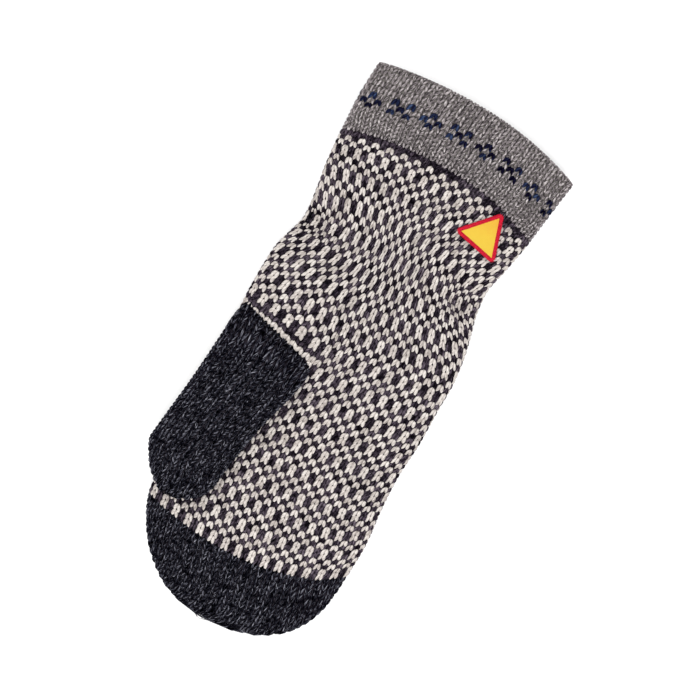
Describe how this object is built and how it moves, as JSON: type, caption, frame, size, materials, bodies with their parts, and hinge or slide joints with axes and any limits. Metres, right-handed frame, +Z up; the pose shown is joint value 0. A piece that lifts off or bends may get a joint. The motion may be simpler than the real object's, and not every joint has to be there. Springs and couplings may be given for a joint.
{
  "type": "mitten",
  "caption": "Right-hand knitted mitten lying flat, palm up: hemmed cuff, gathered wrist, patterned hand, rounded plain tip and thumb folded over the palm.",
  "frame": {"origin": "on the flat underside that the mitten lies on, halfway along its length and under the middle of the cuff", "axes": "+Z up out of the palm, +Y from the cuff towards the fingertips, +X towards the thumb's side"},
  "size_m": [0.1134, 0.2723, 0.0304],
  "materials": {
    "cuff_knit": "soft grey melange wool, matt",
    "hand_knit": "cream and charcoal stranded wool, matt",
    "charcoal_knit": "charcoal melange wool, matt",
    "label_weave": "fine woven polyester with a stitched red edge, slight sheen"
  },
  "bodies": {
    "root": {"cuff": "cuff_knit", "hand": "hand_knit", "fingertip_cap": "charcoal_knit", "thumb": "charcoal_knit", "label": "label_weave"}
  },
  "joints": []
}
